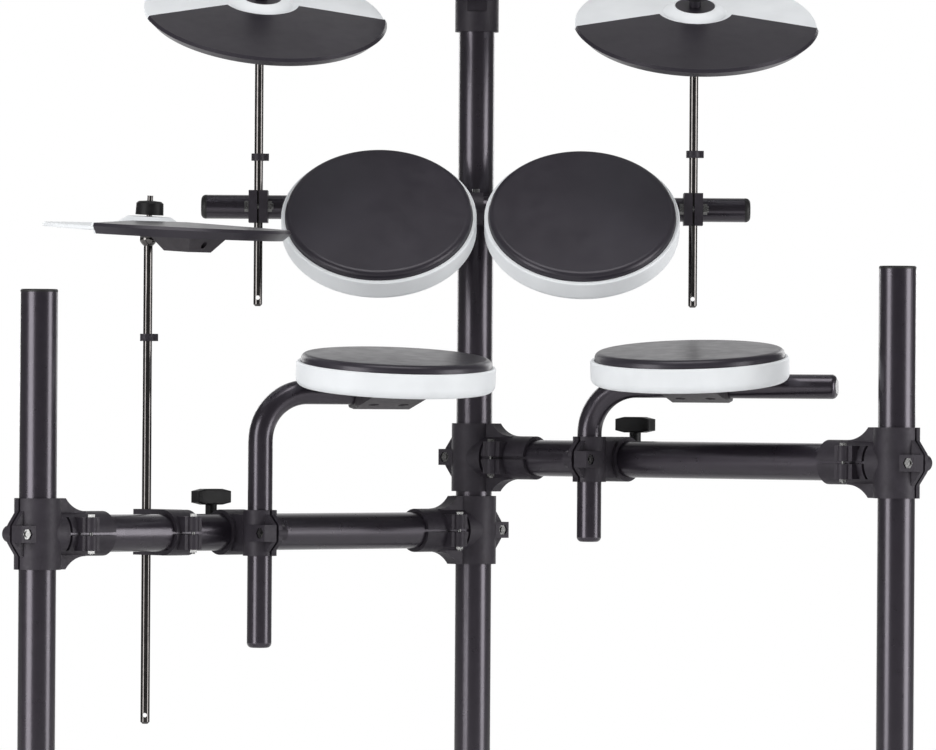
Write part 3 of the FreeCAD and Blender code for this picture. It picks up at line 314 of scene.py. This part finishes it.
knobPlastic = {
    "dark": (0.0055, 0.0052, 0.0058), "light": (0.0095, 0.0090, 0.0098), "mottle": (0.008, 6),
    "roughness": (0.44, 0.56), "polish": 0.008, "relief": (0.0006, 5), "depth": 0.00006,
    "shader": {"Specular IOR Level": 0.30},
}
moduleShell = {
    "dark": (0.0075, 0.0075, 0.0082), "light": (0.0120, 0.0120, 0.0130), "mottle": (0.02, 6),
    "roughness": (0.42, 0.54), "polish": 0.006, "relief": (0.0006, 5), "depth": 0.00008,
    "shader": {"Specular IOR Level": 0.42},
}

finishes = {
    "rack_tube": mixFinish("powderCoat", powderCoat),
    "clamp_plastic": mixFinish("mouldedNylon", mouldedNylon),
    "end_plug": mixFinish("plugPlastic", plugPlastic),
    "bolt_steel": mixFinish("zincSteel", zincSteel),
    "cymbal_rod": mixFinish("blackChrome", blackChrome),
    "pad_rubber": mixFinish("padRubber", padRubber),
    "white_shell": mixFinish("whiteShell", whiteShell),
    "pad_base": mixFinish("basePlastic", basePlastic),
    "knob_plastic": mixFinish("knobPlastic", knobPlastic),
    "module_shell": mixFinish("moduleShell", moduleShell),
}
print("finishes mixed:", len(finishes))


# Each solid takes the finish of its slot in the record
def dressSolids():
    for piece in frame["record"]["subparts"]:
        solid = nodes[piece["node"]]
        solid.data.materials.clear()
        solid.data.materials.append(finishes[piece["material_slot"]])


dressSolids()
print("solids dressed")


# Small pieces that the solids leave to the scene
def addPiece(name, shape, place, body, slot, finish=None):
    mesh = bpy.data.meshes.new(name)
    shape.transform(place)
    shape.to_mesh(mesh)
    shape.free()
    mesh.materials.append(finish or finishes[slot])
    piece = bpy.data.objects.new(name, mesh)
    scene.collection.objects.link(piece)
    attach(piece, body)


def standOn(point, up, across):
    up = Vector(up).normalized()
    across = Vector(across)
    across = (across - up * across.dot(up)).normalized()
    turn = Matrix((across, up.cross(across), up)).transposed().to_4x4()
    return Matrix.Translation(point) @ turn


# Rings of (radius, height) around Z: capped ones make a stack, others close into a hoop
def turnRings(shape, rings, sides, capped):
    angles = [2 * math.pi * i / sides for i in range(sides)]
    loops = []
    for radius, height in rings:
        reach = [radius(a) if callable(radius) else radius for a in angles]
        outline = [(r * math.cos(a), r * math.sin(a), height) for r, a in zip(reach, angles)]
        loops.append([shape.verts.new(point) for point in outline])
    following = loops[1:] if capped else loops[1:] + loops[:1]
    for low, high in zip(loops, following):
        for i in range(sides):
            j = (i + 1) % sides
            face = shape.faces.new((low[i], low[j], high[j], high[i]))
            face.smooth = not capped
    if capped:
        shape.faces.new(list(reversed(loops[0])))
        shape.faces.new(loops[-1])


def hexReach(flats):
    half = math.pi / 6
    return lambda angle: flats / 2 / math.cos((angle + half) % (2 * half) - half)


footRings = {
    "levels": (0.0065, 0.0115, 0.0160), "bulge": 0.0010, "bite": 0.0004,
    "straight": 0.002, "taper": 3.0 / 17,       # above its straight edge, the foot narrows
    "sides": 64, "arcSteps": 8,
}


def ringFoot(p, node, body):
    low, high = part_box(node)
    middle = (low + high) / 2
    widest = (high.x - low.x) / 2
    bulge = p["bulge"]
    steps = [2 * math.pi * i / p["arcSteps"] for i in range(p["arcSteps"])]
    shape = bmesh.new()
    for level in p["levels"]:
        radius = widest - (level - p["straight"]) * p["taper"] - p["bite"]
        rings = [(radius + bulge * math.cos(a), level + bulge * math.sin(a)) for a in steps]
        turnRings(shape, rings, p["sides"], False)
    place = Matrix.Translation((middle.x, middle.y, low.z))
    addPiece(node + "Rings", shape, place, body, "end_plug")


for footNode, footBody in (("centre_foot", "stand"), ("left_post_plugs", "left_wing"),
                           ("right_post_plugs", "right_wing")):
    ringFoot(footRings, footNode, footBody)
print("feet ringed")

padNames = ("snare", "floor_tom", "left_tom", "right_tom")
padHead = {
    "flatWithin": 0.95,     # cosine to the widest face, for the faces of the playing side
    "middle": 0.002,        # metres around the crown's middle
}
padScrew = {
    "diameter": 0.0084, "height": 0.0042, "bevel": 0.0006,
    "flats": 0.004, "socketDepth": 0.0022, "sides": 36,
    "spread": 0.032, "aheadOfBar": 0.030, "padHeight": 0.0348,
}


def padAxes(name):
    faces = nodes[name + "_head"].data.polygons
    along = Vector(joints[name + "_tilt"]["axis"]).normalized()
    widest = max(faces, key=lambda face: face.area).normal
    up = Vector()
    for face in faces:
        if abs(face.normal.dot(widest)) > padHead["flatWithin"] and face.normal.z > 0:
            up += face.normal * face.area
    return along, (up - along * up.dot(along)).normalized()


def screwPad(p, name):
    along, up = padAxes(name)
    toBar = up.cross(along)
    corners = [v.co for v in nodes[name + "_head"].data.vertices]
    across = [along.dot(c) for c in corners]
    crown = max(up.dot(c) for c in corners)
    barAt = toBar.dot(Vector(joints[name + "_tilt"]["pos_m"]))
    middle = along * (min(across) + max(across)) / 2
    middle += up * (crown - p["padHeight"]) + toBar * (barAt - p["aheadOfBar"])
    radius, height, bevel = p["diameter"] / 2, p["height"], p["bevel"]
    socket = hexReach(p["flats"])
    rings = [(radius, 0), (radius, height - bevel), (radius - bevel, height),
             (socket, height), (socket, height - p["socketDepth"])]
    for side, word in ((-1, "Left"), (1, "Right")):
        shape = bmesh.new()
        turnRings(shape, rings, p["sides"], True)
        place = standOn(middle + along * side * p["spread"] / 2, -up, along)
        addPiece(f"{name}Screw{word}", shape, place, name + "_pad", "cymbal_rod")


for padName in padNames:
    screwPad(padScrew, padName)
print("pad screws in")


# A head's mesh has a stray normal at the crown's middle: there it is set upright
def evenCrown(p, name):
    up = padAxes(name)[1]
    head = nodes[name + "_head"]
    group = bpy.data.node_groups.new(name + "Crown", "GeometryNodeTree")
    for way in ("INPUT", "OUTPUT"):
        group.interface.new_socket("Geometry", in_out=way, socket_type="NodeSocketGeometry")
    add, link = group.nodes.new, group.links.new
    away = add("ShaderNodeVectorMath")
    away.operation = "DISTANCE"
    away.inputs[1].default_value = max((v.co for v in head.data.vertices), key=up.dot)
    link(add("GeometryNodeInputPosition").outputs["Position"], away.inputs[0])
    near = add("FunctionNodeCompare")
    near.operation = "LESS_THAN"
    near.inputs[1].default_value = p["middle"]
    link(away.outputs["Value"], near.inputs[0])
    upright = add("GeometryNodeSwitch")
    upright.input_type = "VECTOR"
    upright.inputs["True"].default_value = up
    link(near.outputs["Result"], upright.inputs["Switch"])
    link(add("GeometryNodeInputNormal").outputs["Normal"], upright.inputs["False"])
    even = add("GeometryNodeSetMeshNormal")
    even.mode = "FREE"
    even.domain = "CORNER"
    link(add("NodeGroupInput").outputs["Geometry"], even.inputs["Mesh"])
    link(upright.outputs["Output"], even.inputs["Custom Normal"])
    link(even.outputs["Mesh"], add("NodeGroupOutput").inputs["Geometry"])
    head.modifiers.new("evenCrown", "NODES").node_group = group


for padName in padNames:
    evenCrown(padHead, padName)
print("crowns evened")

gripRib = {"sides": 8, "narrowing": 1.3, "lean": 0.0010, "lift": 0.0004}
knobGrip = {
    "module_dial": {"radius": 0.0187, "height": 0.0095, "ribs": 40, "ribWidth": 0.0011},
    "module_volume": {"radius": 0.0097, "height": 0.0112, "ribs": 24, "ribWidth": 0.0010},
}


def gripKnob(node, p, rib):
    joint = joints[node + "_turn"]
    shape = bmesh.new()
    foot = p["ribWidth"] / 2
    upright = Matrix.Translation((p["radius"], 0, p["height"] / 2 + rib["lift"]))
    leaning = upright @ Matrix.Rotation(-rib["lean"] / p["height"], 4, "Y")     # as the knob tapers
    for i in range(p["ribs"]):
        around = Matrix.Rotation(2 * math.pi * i / p["ribs"], 4, "Z")
        bmesh.ops.create_cone(shape, cap_ends=True, segments=rib["sides"], radius1=foot,
                              radius2=foot / rib["narrowing"], depth=p["height"],
                              matrix=around @ leaning)
    place = standOn(joint["pos_m"], joint["axis"], (1, 0, 0))
    addPiece(node + "Grip", shape, place, node + "_knob", "knob_plastic")


for knobNode, knob in knobGrip.items():
    gripKnob(knobNode, knob, gripRib)
print("knobs ribbed")

modulePanel = {                 # metres on the panel, from its middle
    "glass": {"size": (0.0452, 0.0252), "sunk": -0.0014, "thick": 0.0009, "corner": 0.0015},
    "glassAt": (0, 0.024),
    "key": {"size": (0.0115, 0.0065), "sunk": -0.0002, "thick": 0.0006, "corner": 0.0018},
    "keyRows": (-0.012, -0.024), "keyColumns": (-0.030, -0.015, 0.0, 0.015, 0.030),
    "dialAt": (0.054, 0.004), "cornerSteps": 6,
}
displayGlass = {
    "dark": (0.0036, 0.00405, 0.0054), "light": (0.0044, 0.00495, 0.0066), "mottle": (0.006, 3),
    "roughness": (0.054, 0.066), "polish": 0.004,
}
touchKey = {
    "dark": (0.045, 0.0432, 0.0468), "light": (0.055, 0.0528, 0.0572), "mottle": (0.006, 3),
    "roughness": (0.36, 0.44), "polish": 0.004,
}


def roundedPlate(shape, p, at, steps):
    half = [s / 2 - p["corner"] for s in p["size"]]
    outline = []
    for quarter, (sx, sy) in enumerate(((1, 1), (-1, 1), (-1, -1), (1, -1))):
        for i in range(steps + 1):
            angle = math.pi / 2 * (quarter + i / steps)
            outline.append((at[0] + sx * half[0] + p["corner"] * math.cos(angle),
                            at[1] + sy * half[1] + p["corner"] * math.sin(angle)))
    low = [shape.verts.new((x, y, p["sunk"])) for x, y in outline]
    high = [shape.verts.new((x, y, p["sunk"] + p["thick"])) for x, y in outline]
    for i in range(len(outline)):
        j = (i + 1) % len(outline)
        shape.faces.new((low[i], low[j], high[j], high[i]))
    shape.faces.new(high)
    shape.faces.new(list(reversed(low)))


def fitPanel(p):
    dial = joints["module_dial_turn"]
    x, y = p["dialAt"]
    face = standOn(dial["pos_m"], dial["axis"], (1, 0, 0)) @ Matrix.Translation((-x, -y, 0))
    glass = bmesh.new()
    roundedPlate(glass, p["glass"], p["glassAt"], p["cornerSteps"])
    addPiece("displayGlass", glass, face, "module", "module_shell",
             mixFinish("displayGlass", displayGlass))
    keys = bmesh.new()
    for keyY in p["keyRows"]:
        for keyX in p["keyColumns"]:
            roundedPlate(keys, p["key"], (keyX, keyY), p["cornerSteps"])
    addPiece("touchKeys", keys, face, "module", "module_shell", mixFinish("touchKey", touchKey))


fitPanel(modulePanel)
print("module panel fitted")
